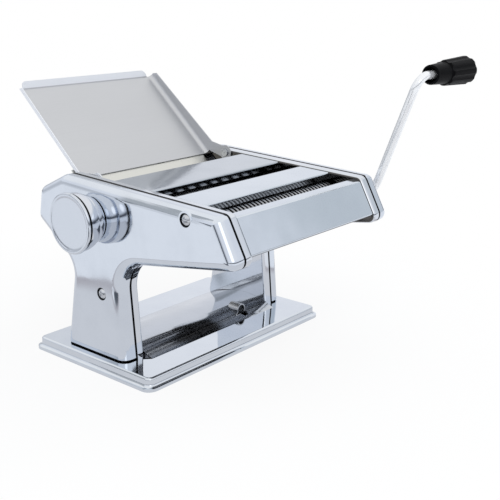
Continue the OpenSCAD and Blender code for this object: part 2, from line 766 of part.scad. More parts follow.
// Left edge of cut number i on a roller whose first blade is shifted by one width or not
function blade_x(w, i, odd) = -blade_count(w) * w - w / 2 + (2 * i + odd) * w;
comb_z = cutter_z - groove_r - 0.3 - blade;
comb_spine = 6;
comb_tip = 6;
module comb(y, side, w, odd) {
    near = sqrt(pow(cutter_r + 0.6, 2) - pow(cutter_z - comb_z - blade, 2));
    finger = w - 0.5;
    translate([0, y, comb_z]) mirror([0, side > 0 ? 0 : 1, 0]) linear_extrude(blade) union() {
        translate([-panel_half, near]) square([2 * panel_half, comb_spine]);
        for (i = [0:blade_count(w) - 1 + odd])
            translate([blade_x(w, i, 1 - odd) + (w - finger) / 2, -comb_tip])
                square([finger, near + comb_tip + eps]);
    }
}
module narrow_combs() {
    color(steel) {
        comb(narrow_drive_y, -1, narrow_w, 0);
        comb(narrow_driven_y, 1, narrow_w, 1);
    }
}
module wide_combs() {
    color(steel) {
        comb(wide_drive_y, -1, wide_w, 0);
        comb(wide_driven_y, 1, wide_w, 1);
    }
}

// Flanged bushes in both webs
module bush(y, z, bore_d, outer_d) {
    for (s = [0, 1]) mirror([s, 0, 0]) difference() {
        union() {
            rod_x(half_in - bush_flange, half_in, y, z, outer_d + 4);
            rod_x(half_in - eps, web_out + bush_out, y, z, outer_d);
        }
        rod_x(half_in - bush_flange - 1, web_out + bush_out + 1, y, z, bore_d);
    }
}
module smooth_bushes() {
    color(nylon) bush(fixed_y, regulator_z, fixed_journal_d + 2 * run_gap, fixed_bush_d);
}
module cutter_bushes() {
    color(nylon) for (y = cutter_axes) bush(y, cutter_z, journal_d + 2 * run_gap, bush_d);
}

// Regulator bearings. Each has a level slot for the core tube's flats and a bore for the shaft
flat_h = 13;
slot_h = flat_h + 2 * 0.15;
slot_w = core_d + 2 * (cam_throw + 0.3);
block_half = slot_w / 2 + 3;
block_wall = 2.5;
block_slot = 5;
bridge_x = gear_end + 1.2;
gear_tip = smooth_d / 2 + smooth_gap / 2 + 2.2;
bridge_post_d = 6;
bridge_reach = gear_tip + cam_throw + bridge_post_d / 2 + 1;
bridge_posts = [for (a = [-45, 45])
    [regulator_y - bridge_reach * cos(a), regulator_z + bridge_reach * sin(a)]];
// A block from front to back, reaching up and down from the shaft
module regulator_block(x, front, reach) {
    difference() {
        along_x(x, x + block_slot + block_wall) translate([regulator_y - front, regulator_z - reach])
            square([front + block_half, 2 * reach]);
        translate([x - 1, regulator_y - slot_w / 2, regulator_z - slot_h / 2])
            cube([block_slot + 1, slot_w, slot_h]);
        rod_x(x, x + block_slot + block_wall + 1, regulator_y, regulator_z, regulator_d + 2 * run_gap);
    }
}
module left_regulator_block() {
    color(nylon) mirror([1, 0, 0]) regulator_block(web_out, block_half, slot_h / 2 + 4);
}
module right_regulator_block() {
    edge = bridge_reach * cos(45) + bridge_post_d / 2;
    color(nylon) {
        regulator_block(bridge_x, edge, edge);
        for (p = bridge_posts) rod_x(web_out, bridge_x + eps, p[0], p[1], bridge_post_d);
    }
}

// Index plate behind the left cover: a round track with a dimple for each stop
track_r = index_hole_d / 2 - 3.2;
pin_d = 3;
track_depth = 1.6;
index_thick = 4;
module index_plate() {
    color(brass) mirror([1, 0, 0]) difference() {
        rod_x(cover_inner - index_thick, cover_inner, regulator_y, regulator_z, index_hole_d + 8);
        rod_x(cover_inner - index_thick - 1, cover_inner + 1, regulator_y, regulator_z,
            regulator_d + 2 * run_gap);
        difference() {
            rod_x(cover_inner - track_depth, cover_inner + 1, regulator_y, regulator_z,
                2 * track_r + pin_d + 0.8);
            rod_x(cover_inner - track_depth - 1, cover_inner + 2, regulator_y, regulator_z,
                2 * track_r - pin_d - 0.8);
        }
        for (k = [0:stops - 1]) let (a = 180 * k / (stops - 1))
            rod_x(cover_inner - track_depth - 1, cover_inner, regulator_y + track_r * cos(a),
                regulator_z + track_r * sin(a), pin_d + 0.4);
    }
}
module crank_ferrules() {
    rim = 1.2;
    color(steel) for (p = socket_axes) difference() {
        union() {
            rod_x(cover_inner - 0.4, cover_face, p[0], p[1], ferrule_d);
            rod_x(cover_face, cover_face + rim, p[0], p[1], ferrule_d + 3);
        }
        rod_x(cover_inner - 2, cover_face + rim + 1, p[0], p[1], ferrule_bore_d);
    }
}

// Regulator: shaft with two cams, knob with its spring, core tube and roller
cam_d = regulator_d + 2 * cam_throw + 0.2;
cam_len = 9;
cam_play = 0.22 * cam_throw + 0.06;
shaft_flats = regulator_d - 1.4;
knob_rear = cover_face + 0.6;
knob_front = knob_rear + knob_body;
spring_seat = knob_rear + 4;
spring_len = 8;
nut_len = 2.4;
shaft_left = spring_seat + spring_len + nut_len + 0.6;
shaft_right = bridge_x + block_slot + block_wall - 0.4;
module flatted_disc(d, gap) {
    intersection() {
        circle(d = d + gap);
        square([d + 2, shaft_flats + gap], center = true);
    }
}
module regulator_shaft() {
    color(steel) {
        rod_x(-knob_rear + 0.5, shaft_right, regulator_y, regulator_z, regulator_d);
        along_x(-shaft_left, -knob_rear + 0.5 + eps) translate([regulator_y, regulator_z])
            flatted_disc(regulator_d, 0);
        for (x = [-roller_end + 2, roller_end - 2 - cam_len])
            rod_x(x, x + cam_len, adjust_y, regulator_z, cam_d);
    }
}
module spring_nut() {
    color(brass) along_x(-spring_seat - spring_len - nut_len, -spring_seat - spring_len)
        translate([regulator_y, regulator_z]) difference() {
            circle(d = 14);
            flatted_disc(regulator_d, fit);
        }
}
spring_room_r = 9;
front_ring_r = knob_d / 2 - 1.2;
rear_ring_r = knob_d / 2 - 3.6;
rear_ring = 8.4;
ring_bow = 0.6;
groove_w = 1;
groove_in = 3;
// Knob profile as [radius, distance from the cover side]: two bowed rings and a groove
module regulator_knob() {
    color(chrome) mirror([1, 0, 0]) translate([0, regulator_y, regulator_z]) difference() {
        translate([knob_rear, 0, 0]) rotate([0, 90, 0]) rotate_extrude() polygon(concat(
            [[0, 0], [knob_root_d / 2 - 0.8, 0]],
            bowed([knob_root_d / 2, 0.8], [rear_ring_r, rear_ring - 0.4], ring_bow),
            [[rear_ring_r - 0.6, rear_ring]],
            bowed([front_ring_r - 0.7, rear_ring + 0.4], [front_ring_r, knob_body - groove_w], ring_bow),
            [[front_ring_r - groove_in, knob_body - groove_w], [front_ring_r - groove_in, knob_body],
             [0, knob_body]]));
        translate([spring_seat, 0, 0]) rotate([0, 90, 0]) cylinder(h = knob_body, r = spring_room_r);
        along_x(knob_rear - 1, spring_seat + 1) flatted_disc(regulator_d, 2 * fit);
        rod_x(knob_rear - 1, knob_rear + pin_seat, track_r, 0, pin_d);
    }
}
pin_seat = 3;
module index_pin() {
    color(steel) mirror([1, 0, 0])
        rod_x(cover_inner - track_depth + 0.5, knob_rear + pin_seat, regulator_y + track_r, regulator_z,
            pin_d);
}
// Face disc with a raised rim round a shallow dish
module knob_face_disc() {
    r = knob_d / 2;
    rim = 2.2;
    edge = 0.6;
    edge_round = 1.5;
    dish = 1;
    dish_w = 3.4;
    color(chrome) mirror([1, 0, 0]) translate([knob_front, regulator_y, regulator_z]) rotate([0, 90, 0])
        rotate_extrude() polygon(concat([[0, 0], [r - edge, 0], [r, edge]],
            corner_arc([r, edge], [r, knob_face], [0, knob_face], edge_round, arc_steps),
            bowed([r - rim, knob_face], [r - rim - dish_w, knob_face - dish], -dish / 4),
            [[0, knob_face - dish]]));
}
// Compression spring as one swept wire
spring_turns = 4;
spring_wire_r = 0.4;
spring_r = 6.2;
spring_sides = 6;
spring_rings = 8 * spring_turns;
module knob_spring() {
    rise = spring_len - 2 * spring_wire_r - 0.2;
    color(steel) mirror([1, 0, 0])
        translate([spring_seat + spring_wire_r + 0.1, regulator_y, regulator_z])
        skin([for (k = [0:spring_rings]) let (a = 360 * spring_turns * k / spring_rings)
            [for (i = [0:spring_sides - 1])
                let (b = -360 * i / spring_sides, r = spring_r + spring_wire_r * cos(b))
                [rise * k / spring_rings + spring_wire_r * sin(b), r * cos(a), r * sin(a)]]]);
}

core_left = web_out + block_slot - 0.5;
core_right = bridge_x + block_slot - 0.5;
core_slot_y = cam_d + 2 * cam_play;
core_slot_z = cam_d + 2 * (cam_throw + 0.15);
module roller_core() {
    color(steel) difference() {
        along_x(-core_left, core_right) translate([adjust_y, regulator_z]) difference() {
            circle(d = core_d);
            square([core_slot_y, core_slot_z], center = true);
        }
        // both ends are milled flat above and below, where they slide in the blocks
        for (span = [[-core_left - 1, -half_in + 0.5], [bridge_x - 0.5, core_right + 1]], s = [0, 1])
            translate([span[0], adjust_y - core_d,
                regulator_z + (s == 0 ? flat_h / 2 : -flat_h / 2 - core_d)])
                cube([span[1] - span[0], 2 * core_d, core_d]);
    }
}
module adjustable_roller() {
    color(steel) difference() {
        union() {
            rod_x(-roller_end, roller_end, adjust_y, regulator_z, smooth_d);
            rod_x(0, gear_end, adjust_y, regulator_z, neck_d);
        }
        rod_x(-roller_end - 1, gear_end + 1, adjust_y, regulator_z, core_d + 2 * run_gap);
    }
}

// Spur gear with involute flanks; r is its pitch radius, tip and root its other radii
function involute(a) = tan(a) * 180 / PI - a;
pressure = 25;
flank_steps = 5;
function tooth_half(r, base, teeth, pitch, play) =
    90 / teeth - play / pitch * 90 / PI + involute(pressure) - (r > base ? involute(acos(base / r)) : 0);
function gear_outline(teeth, pitch, tip, root, play) =
    let (base = pitch * cos(pressure), low = max(root, base),
         radii = concat([root], [for (k = [0:flank_steps]) low + (tip - low) * k / flank_steps]))
    [for (i = [0:teeth - 1]) each concat(
        [for (r = radii) let (a = 360 * i / teeth - tooth_half(r, base, teeth, pitch, play))
            r * [cos(a), sin(a)]],
        [for (r = backwards(radii)) let (a = 360 * i / teeth + tooth_half(r, base, teeth, pitch, play))
            r * [cos(a), sin(a)]])];
module gear(y, z, teeth, pitch, tip, root, bore, start) {
    along_x(gear_x, gear_end) translate([y, z]) difference() {
        rotate(start) polygon(gear_outline(teeth, pitch, tip, root, 0.2));
        circle(d = bore);
    }
}
smooth_pitch = (smooth_d + smooth_gap) / 2;
smooth_root = 2 * smooth_pitch - gear_tip - 0.3;
cutter_gear_pitch = cutter_pitch / 2;
cutter_module = cutter_pitch / cutter_teeth;
cutter_gear_tip = cutter_gear_pitch + 0.85 * cutter_module;
cutter_gear_root = cutter_gear_pitch - 1.1 * cutter_module;
module smooth_gear(y, bore, start) {
    gear(y, regulator_z, smooth_teeth, smooth_pitch, gear_tip, smooth_root, bore, start);
}
module cutter_gear(y, start) {
    gear(y, cutter_z, cutter_teeth, cutter_gear_pitch, cutter_gear_tip, cutter_gear_root,
        journal_d + 2 * bearing_gap, start);
}
// A tooth of the first gear looks at +Y; its mate shows a space there
function mate_start(teeth) = 180 + 180 / teeth;
module adjustable_roller_gear() { color(brass) smooth_gear(adjust_y, neck_d + 2 * bearing_gap, 0); }
module fixed_roller_gear() {
    color(brass) smooth_gear(fixed_y, fixed_journal_d + 2 * bearing_gap, mate_start(smooth_teeth));
}
module narrow_drive_gear() { color(brass) cutter_gear(narrow_drive_y, 0); }
module narrow_driven_gear() { color(brass) cutter_gear(narrow_driven_y, mate_start(cutter_teeth)); }
module wide_drive_gear() { color(brass) cutter_gear(wide_drive_y, 0); }
module wide_driven_gear() { color(brass) cutter_gear(wide_driven_y, mate_start(cutter_teeth)); }

// Crank hub with a bore for the rod and a slot for its drive pin
socket_d = rod_d + 2 * run_gap;
socket_depth = 13;
drive_pin_d = 3;
drive_slot = 4;
module hub(y, z) {
    difference() {
        rod_x(gear_end, hub_end, y, z, hub_d);
        rod_x(hub_end - socket_depth, hub_end + 1, y, z, socket_d);
        translate([hub_end - drive_slot, y, z]) rotate([crank_lean, 0, 0])
            translate([0, -drive_pin_d / 2 - fit, -hub_d])
                cube([drive_slot + 1, drive_pin_d + 2 * fit, 2 * hub_d]);
    }
}
module shaft_and_hub(y, z, d, drives) {
    difference() {
        rod_x(roller_end - eps, drives ? gear_end + eps : gear_end + 1, y, z, d);
        if (drives) rod_x(hub_end - socket_depth, hub_end + 1, y, z, socket_d);
    }
    if (drives) hub(y, z);
    rod_x(-journal_left, -roller_end + eps, y, z, d);
}
module fixed_roller() {
    color(steel) {
        rod_x(-roller_end, roller_end, fixed_y, regulator_z, smooth_d);
        shaft_and_hub(fixed_y, regulator_z, fixed_journal_d, true);
    }
}
module cutter(y, w, odd, drives) {
    color(steel) {
        translate([0, y, cutter_z]) rotate([0, 90, 0]) rotate_extrude() polygon(concat(
            [[0, -roller_end], [groove_r, -roller_end]],
            [for (i = [0:blade_count(w) - 1 + (1 - odd)])
                let (x = blade_x(w, i, odd) + blade_gap / 2, end = x + w - blade_gap)
                each [[groove_r, x], [cutter_r, x], [cutter_r, end], [groove_r, end]]],
            [[groove_r, roller_end], [0, roller_end]]));
        shaft_and_hub(y, cutter_z, journal_d, drives);
    }
}
module narrow_drive_cutter() { cutter(narrow_drive_y, narrow_w, 0, true); }
module narrow_driven_cutter() { cutter(narrow_driven_y, narrow_w, 1, false); }
module wide_drive_cutter() { cutter(wide_drive_y, wide_w, 0, true); }
module wide_driven_cutter() { cutter(wide_driven_y, wide_w, 1, false); }

// Crank, drawn upright about its axis and leant towards the front
arm_x = cover_face + crank_reach + rod_d / 2;
grip_x = arm_x + rod_bend + 4.5;
rod_end = grip_x + grip_len - 24;
module on_crank() {
    translate([0, cutter_y, cutter_z]) rotate([crank_lean, 0, 0]) children();
}
module rod_corner(x, z, start) {
    translate([x, 0, z]) rotate([90, 0, 0]) rotate([0, 0, start])
        rotate_extrude(angle = 90) translate([rod_bend, 0]) circle(d = rod_d);
}
module crank_rod() {
    color(chrome) on_crank() difference() {
        union() {
            rod_x(hub_end - socket_depth + 1, arm_x - rod_bend, 0, 0, rod_d);
            rod_corner(arm_x - rod_bend, rod_bend, -90);
            translate([arm_x, 0, rod_bend]) cylinder(h = crank_throw - 2 * rod_bend, d = rod_d);
            rod_corner(arm_x + rod_bend, crank_throw - rod_bend, 90);
            rod_x(arm_x + rod_bend, rod_end, 0, crank_throw, rod_d);
        }
        translate([hub_end - drive_slot / 2, 0, 0]) cylinder(h = 2 * rod_d, d = drive_pin_d, center = true);
    }
}
module crank_drive_pin() {
    color(steel) on_crank() translate([hub_end - drive_slot / 2, 0, 0])
        cylinder(h = hub_d - 1, d = drive_pin_d, center = true);
}
retainer_d = 11;
retainer_len = 3;
module grip_retainer() {
    color(steel) on_crank() difference() {
        rod_x(rod_end - retainer_len, rod_end, 0, crank_throw, retainer_d);
        rod_x(rod_end - retainer_len - 1, rod_end + 1, 0, crank_throw, rod_d + fit);
    }
}
// Grip: plain collar with an open mouth, then a fluted barrel, closed by a domed cap
mouth_depth = 6;
grip_dome = 8;
barrel_end = grip_len - grip_dome;
retainer_room = rod_end - retainer_len - 0.3 - grip_x;
shoulder_d = grip_end_d - 2.8;
cap_step = 1.9;
flute_d = 9;
flute_lean = atan2((grip_end_d - shoulder_d) / 2, barrel_end - grip_collar);
module crank_grip() {
    color(black) on_crank() translate([grip_x, 0, crank_throw]) difference() {
        rotate([0, 90, 0]) rotate_extrude() polygon([
            [0, 0], [grip_mouth_d / 2 - 0.6, 0], [grip_mouth_d / 2, 0.6],
            [grip_mouth_d / 2 + 1, grip_collar - 1], [shoulder_d / 2 - 0.6, grip_collar],
            [shoulder_d / 2, grip_collar + 1], [grip_end_d / 2, barrel_end - cap_step],
            [grip_end_d / 2 - cap_step, barrel_end], [0, barrel_end]]);
        translate([-1, 0, 0]) rotate([0, 90, 0]) cylinder(h = mouth_depth + 1, d = grip_mouth_d - 3.6);
        rod_x(-1, barrel_end, 0, 0, rod_d + 2 * run_gap);
        rod_x(retainer_room, barrel_end + 1, 0, 0, retainer_d + 1.4);
        for (k = [0:flutes - 1]) rotate([360 * k / flutes, 0, 0])
            translate([grip_collar, 0, (shoulder_d + flute_d) / 2 - flute_depth])
                rotate([0, 90 - flute_lean, 0]) translate([0, 0, -flute_d])
                cylinder(h = grip_len, d = flute_d);
    }
}
module grip_end_cap() {
    r = grip_end_d / 2 - cap_step;
    plug = 3;
    ball = (r * r + grip_dome * grip_dome) / (2 * grip_dome);
    color(black) on_crank() translate([grip_x + barrel_end, 0, crank_throw]) rotate([0, 90, 0]) {
        intersection() {
            cylinder(h = grip_dome, r = r);
            translate([0, 0, grip_dome - ball]) sphere(r = ball);
        }
        translate([0, 0, -plug]) cylinder(h = plug + eps, d = retainer_d + 1.4 - 2 * bearing_gap);
    }
}

base_plate();
floor_ramp();
clamp_socket();
rubber_feet();
foot_screws();
left_inner_frame();
right_inner_frame();
left_side_cover();
right_side_cover();
cover_posts();
cover_screws();
tie_rods();
tie_rod_screws();
front_panel();
middle_cover();
top_cover();
rear_panel();
feed_guide();
smooth_scrapers();
narrow_combs();
wide_combs();
smooth_bushes();
cutter_bushes();
left_regulator_block();
right_regulator_block();
index_plate();
crank_ferrules();
tray_rivets();
feed_tray();
regulator_shaft();
spring_nut();
regulator_knob();
knob_face_disc();
index_pin();
knob_spring();
roller_core();
adjustable_roller();
adjustable_roller_gear();
fixed_roller();
fixed_roller_gear();
narrow_drive_cutter();
narrow_drive_gear();
narrow_driven_cutter();
narrow_driven_gear();
wide_drive_cutter();
wide_drive_gear();
wide_driven_cutter();
wide_driven_gear();
crank_rod();
crank_drive_pin();
grip_retainer();
crank_grip();
grip_end_cap();
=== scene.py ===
import math

import bpy
from mathutils import Matrix, Vector


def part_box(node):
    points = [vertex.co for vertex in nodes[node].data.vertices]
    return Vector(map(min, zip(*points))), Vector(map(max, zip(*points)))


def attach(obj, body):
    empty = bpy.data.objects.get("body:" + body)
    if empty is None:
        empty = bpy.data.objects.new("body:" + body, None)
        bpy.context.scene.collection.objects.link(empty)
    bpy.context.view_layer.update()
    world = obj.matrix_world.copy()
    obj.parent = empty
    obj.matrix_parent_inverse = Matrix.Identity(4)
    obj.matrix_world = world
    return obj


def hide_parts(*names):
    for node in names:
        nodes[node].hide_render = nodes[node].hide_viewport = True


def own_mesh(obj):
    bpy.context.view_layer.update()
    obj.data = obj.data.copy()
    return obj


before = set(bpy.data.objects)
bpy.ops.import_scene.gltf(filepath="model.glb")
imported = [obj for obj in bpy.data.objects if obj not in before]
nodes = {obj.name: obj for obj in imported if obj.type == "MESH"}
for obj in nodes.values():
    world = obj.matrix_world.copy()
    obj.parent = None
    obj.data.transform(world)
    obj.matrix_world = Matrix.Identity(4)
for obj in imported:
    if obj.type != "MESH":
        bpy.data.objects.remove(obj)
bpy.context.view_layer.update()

# Base pan: one deep-drawn steel sheet with a hollow-moulded rim, nickel and
# chrome plated to a mirror. It stands on its rim, and the legs are screwed to it.


class Shade:
    """A socket of a shader tree, usable in sums and products."""

    def __init__(self, owner, socket):
        self.owner = owner
        self.socket = socket

    def maths(self, operation, *values):
        return self.owner.node("Math", {"operation": operation}, dict(enumerate(values)))

    def __add__(self, other):
        return self.maths("ADD", self, other)

    __radd__ = __add__

    def __sub__(self, other):
        return self.maths("SUBTRACT", self, other)

    def __rsub__(self, other):
        return self.maths("SUBTRACT", other, self)

    def __mul__(self, other):
        return self.maths("MULTIPLY", self, other)

    __rmul__ = __mul__

    def __pow__(self, other):
        return self.maths("POWER", self, other)

    def __abs__(self):
        return self.maths("ABSOLUTE", self)

    def larger(self, other):
        return self.maths("MAXIMUM", self, other)

    def between(self, low, high):
        """0 below low, 1 above high, smooth between."""
        return self.owner.node(
            "MapRange",
            {"interpolation_type": "SMOOTHSTEP"},
            {"Value": self, "From Min": low, "From Max": high},
        )


class Nodes:
    """A shader tree whose nodes are added by one method."""

    def __init__(self, tree):
        self.tree = tree
        self.tree.nodes.clear()

    def node(self, kind, settings, sockets, result=0):
        """Adds a node, sets it, feeds its sockets and hands back one output."""
        made = self.tree.nodes.new("ShaderNode" + kind)
        for name, value in settings.items():
            setattr(made, name, value)
        for name, value in sockets.items():
            if isinstance(value, Shade):
                self.tree.links.new(value.socket, made.inputs[name])
            else:
                made.inputs[name].default_value = value
        return Shade(self, made.outputs[result]) if made.outputs else None

    def part(self, vector, letter):
        """The X, Y or Z of a vector."""
        return self.node("SeparateXYZ", {}, {0: vector}, "XYZ".index(letter))

    def tint(self, mask, first, second):
        """The first colour where the mask is 0, the second where it is 1."""
        first = (*first, 1) if isinstance(first, tuple) else first
        second = (*second, 1) if isinstance(second, tuple) else second
        return self.node("Mix", {"data_type": "RGBA"}, {0: mask, 6: first, 7: second}, 2)


class Finish(Nodes):
    """One procedural material on object coordinates."""

    def __init__(self, name):
        self.material = bpy.data.materials.new(name)
        self.material.use_nodes = True
        super().__init__(self.material.node_tree)
        self.place = self.node("TexCoord", {}, {}, "Object")

    def axis(self, letter):
        return self.part(self.place, letter)

    def facing_up(self):
        """1 on faces that look up, 0 on upright ones, -1 on those that look down."""
        return self.part(self.node("TexCoord", {}, {}, "Normal"), "Z")

    def noise(self, scale, detail, roughness=0.5, stretch=(1, 1, 1)):
        mapped = self.node("Mapping", {}, {"Vector": self.place, "Scale": stretch})
        return self.node(
            "TexNoise",
            {},
            {"Vector": mapped, "Scale": scale, "Detail": detail, "Roughness": roughness},
        )

    def bump(self, height, distance):
        return self.node("Bump", {}, {"Height": height, "Distance": distance})

    def surface(self, colour, roughness, normal, metallic=1.0, **fixed):
        """Ends the material; a fixed socket is named with _ in place of spaces."""
        sockets = {
            "Base Color": colour,
            "Roughness": roughness,
            "Normal": normal,
            "Metallic": metallic,
        }
        sockets.update({name.replace("_", " "): value for name, value in fixed.items()})
        shader = self.node("BsdfPrincipled", {}, sockets)
        self.node("OutputMaterial", {}, {"Surface": shader})
        return self.material


weld_reach = 2e-6
round_bend = math.radians(34)
flat_weight = 80


def round_edges_tree():
    """Joins a node's loose triangles and shades every slight bend round."""
    tree = bpy.data.node_groups.new("joined_round_shading", "GeometryNodeTree")
    tree.interface.new_socket("Geometry", in_out="INPUT", socket_type="NodeSocketGeometry")
    tree.interface.new_socket("Geometry", in_out="OUTPUT", socket_type="NodeSocketGeometry")
    start = tree.nodes.new("NodeGroupInput")
    joined = tree.nodes.new("GeometryNodeMergeByDistance")
    joined.inputs["Distance"].default_value = weld_reach
    smooth = tree.nodes.new("GeometryNodeSetShadeSmooth")
    smooth.domain = "FACE"
    angle = tree.nodes.new("GeometryNodeInputMeshEdgeAngle")
    steep = tree.nodes.new("FunctionNodeCompare")
    steep.operation = "GREATER_THAN"
    steep.inputs[1].default_value = round_bend
    sharp = tree.nodes.new("GeometryNodeSetShadeSmooth")
    sharp.domain = "EDGE"
    sharp.inputs["Shade Smooth"].default_value = False
    end = tree.nodes.new("NodeGroupOutput")
    link = tree.links.new
    link(start.outputs[0], joined.inputs["Geometry"])
    link(joined.outputs[0], smooth.inputs["Geometry"])
    link(smooth.outputs[0], sharp.inputs["Geometry"])
    link(angle.outputs["Unsigned Angle"], steep.inputs[0])
    link(steep.outputs[0], sharp.inputs["Selection"])
    link(sharp.outputs[0], end.inputs[0])
    return tree


round_edges = round_edges_tree()


def dress(material, *names):
    """Gives CAD nodes their finish and round shading."""
    for name in names:
        piece = nodes[name]
        piece.data.materials.clear()
        piece.data.materials.append(material)
        piece.modifiers.new("joined", "NODES").node_group = round_edges
        weighted = piece.modifiers.new("flats_stay_flat", "WEIGHTED_NORMAL")
        weighted.keep_sharp = True
        weighted.weight = flat_weight


def polish_haze(sheet):
    """Cloudy patches that polishing leaves in plating."""
    return sheet.noise(34, detail=4, roughness=0.6).between(0.35, 0.75)


def wipe_marks(sheet):
    """Faint streaks of wiping, close together from front to back."""
    return sheet.noise(22, detail=5, roughness=0.7, stretch=(1, 14, 2)).between(0.55, 0.8)


def press_waves(sheet, scale, height):
    """The slow waves that a press leaves in sheet."""
    return sheet.bump(sheet.noise(scale, detail=1, roughness=0.3), height)


haze_dulls = 0.035
wipes_dull = 0.03
# Dark of the painted shade on faces that look down.
painted_shade_dark = (0.07, 0.07, 0.075)
looks_down, looks_level = -0.6, -0.2


def plated(name, colour, cloudy, roughness, wave, wave_scale, painted_shade_below=False):
    """Plated sheet: slow waves left by the press, faint wipe marks and cloudy polish.

    With the last flag set, faces that look down are darkened with painted shade.
    """
    sheet = Finish(name)
    haze = polish_haze(sheet)
    tone = sheet.tint(haze, colour, cloudy)
    # Painted shade: faces that look down are tinted dark.
    if painted_shade_below:
        below = 1 - sheet.facing_up().between(looks_down, looks_level)
        tone = sheet.tint(below, tone, painted_shade_dark)
    dullness = roughness + haze * haze_dulls + wipe_marks(sheet) * wipes_dull
    return sheet.surface(tone, dullness, press_waves(sheet, wave_scale, wave))


base_chrome = plated(
    "base_chrome",
    (0.72, 0.76, 0.81),
    (0.68, 0.72, 0.78),
    roughness=0.05,
    wave=0.0006,
    wave_scale=26,
)
dress(base_chrome, "base_plate")

# Ramp between the legs: a low bowed sheet of the same plating that leads what falls
# from the cutters forward. The table clamp's socket is set into its front slope.
# Its colours are a darker copy of the base plating: painted shade under the body.
ramp_chrome = plated(
    "ramp_chrome",
    (0.57, 0.60, 0.65),
    (0.52, 0.55, 0.60),
    roughness=0.07,
    wave=0.0008,
    wave_scale=20,
)
dress(ramp_chrome, "floor_ramp")

# Ramp ends: two thin steel cheeks, dark with painted shade, that close the bow beside
# the legs.
# They stand under the sheet's ends, on the base.
cheek_steel = plated(
    "cheek_steel",
    (0.15, 0.15, 0.16),
    (0.11, 0.11, 0.12),
    roughness=0.16,
    wave=0.0,
    wave_scale=20,
)
cheek_sheet = 0.0004
cheek_steps = 24
cheek_below = 0.0006
ramp_low, ramp_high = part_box("floor_ramp")


def cheek_outline():
    """Points of the bow between the ramp's foot and its rear edge, as (y, z)."""
    middle = (ramp_low.y + ramp_high.y) / 2
    half = (ramp_high.y - ramp_low.y) / 2
    rise = ramp_high.z - ramp_low.z - cheek_below
    spans = [2 * step / cheek_steps - 1 for step in range(cheek_steps + 1)]
    return [(middle + half * span, ramp_low.z + rise * (1 - span * span)) for span in spans]


def cheek_mesh(name, x):
    """A flat plate of the outline, one sheet thick, that ends at x."""
    outline = cheek_outline()
    count = len(outline)
    inner = x - math.copysign(cheek_sheet, x)
    points = [(side, y, z) for side in (x, inner) for y, z in outline]
    rims = [(i, (i + 1) % count, (i + 1) % count + count, i + count) for i in range(count)]
    faces = [tuple(range(count)), tuple(reversed(range(count, 2 * count))), *rims]
    mesh = bpy.data.meshes.new(name)
    mesh.from_pydata(points, [], faces if x < 0 else [face[::-1] for face in faces])
    mesh.materials.append(cheek_steel)
    return mesh


def new_object(name, data):
    """An object that stands in the scene."""
    made = bpy.data.objects.new(name, data)
    bpy.context.scene.collection.objects.link(made)
    return made


for side, x in (("left", ramp_low.x), ("right", ramp_high.x)):
    cheek = new_object(side + "_ramp_cheek", cheek_mesh(side + "_ramp_cheek", x))
    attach(cheek, "frame")

# Clamp socket, feet and leg screws: a turned steel socket with a blind bore, four
# moulded rubber feet inside the rim, and zinc screws with hexagon nuts.
tool_depth = 0.00003


def turned_metal(name, colour, dark, roughness, lines):
    """Machined metal with fine tool lines square to X."""
    metal = Finish(name)
    tool = metal.noise(lines, detail=2, roughness=0.6, stretch=(1, 0.02, 0.02))
    grime = metal.noise(60, detail=4, roughness=0.6).between(0.5, 0.8)
    return metal.surface(
        metal.tint(tool, dark, colour),
        roughness + tool * 0.12 + grime * 0.1,
        metal.bump(tool, tool_depth),
    )


machined = turned_metal(
    "machined_steel", (0.62, 0.63, 0.65), (0.45, 0.46, 0.48), roughness=0.18, lines=2600
)
dress(machined, "clamp_socket")

rubber_black, rubber_dusty = (0.016, 0.016, 0.017), (0.06, 0.058, 0.055)
rubber_grain = 0.00008
rubber = Finish("black_rubber")
rubber_dust = rubber.noise(90, detail=5, roughness=0.65).between(0.5, 0.85)
dress(
    rubber.surface(
        rubber.tint(rubber_dust, rubber_black, rubber_dusty),
        0.62 + rubber_dust * 0.2,
        rubber.bump(rubber.noise(2200, detail=2), rubber_grain),
        metallic=0.0,
    ),
    "rubber_feet",
)

zinc_bright, zinc_grey = (0.70, 0.72, 0.75), (0.56, 0.58, 0.61)
spangle_depth = 0.00002
zinc = Finish("screw_zinc")
zinc_spangle = zinc.noise(900, detail=2).between(0.3, 0.7)
zinc_dull = zinc.noise(160, detail=3).between(0.45, 0.7)
screw_zinc = zinc.surface(
    zinc.tint(zinc_spangle, zinc_bright, zinc_grey),
    0.14 + zinc_spangle * 0.08 + zinc_dull * 0.08,
    zinc.bump(zinc_spangle, spangle_depth),
)
dress(screw_zinc, "foot_screws")

# Inner frames: pressed chrome-plated sheets that carry the bearings, darkened on the inside
# above the legs as painted shade. Their flanges meet the outer covers in a narrow seam,
# painted black as shade, and their feet are screwed to the base.
seam_from = 0.0808
seam_fade = 0.0002
painted_shade_black = (0.008, 0.008, 0.009)
inner_wall = 0.0745
inner_shade_from, inner_shade_to = 0.070, 0.084
inner_shade_dark = (0.10, 0.095, 0.09)
frame_bright, frame_cloudy = (0.74, 0.77, 0.82), (0.69, 0.73, 0.78)
frame_metal = Finish("frame_chrome")
frame_out = abs(frame_metal.axis("X"))
# Painted shade: black on the flange beyond the seam, in the covers' gap.
in_seam = frame_out.between(seam_from, seam_from + seam_fade)
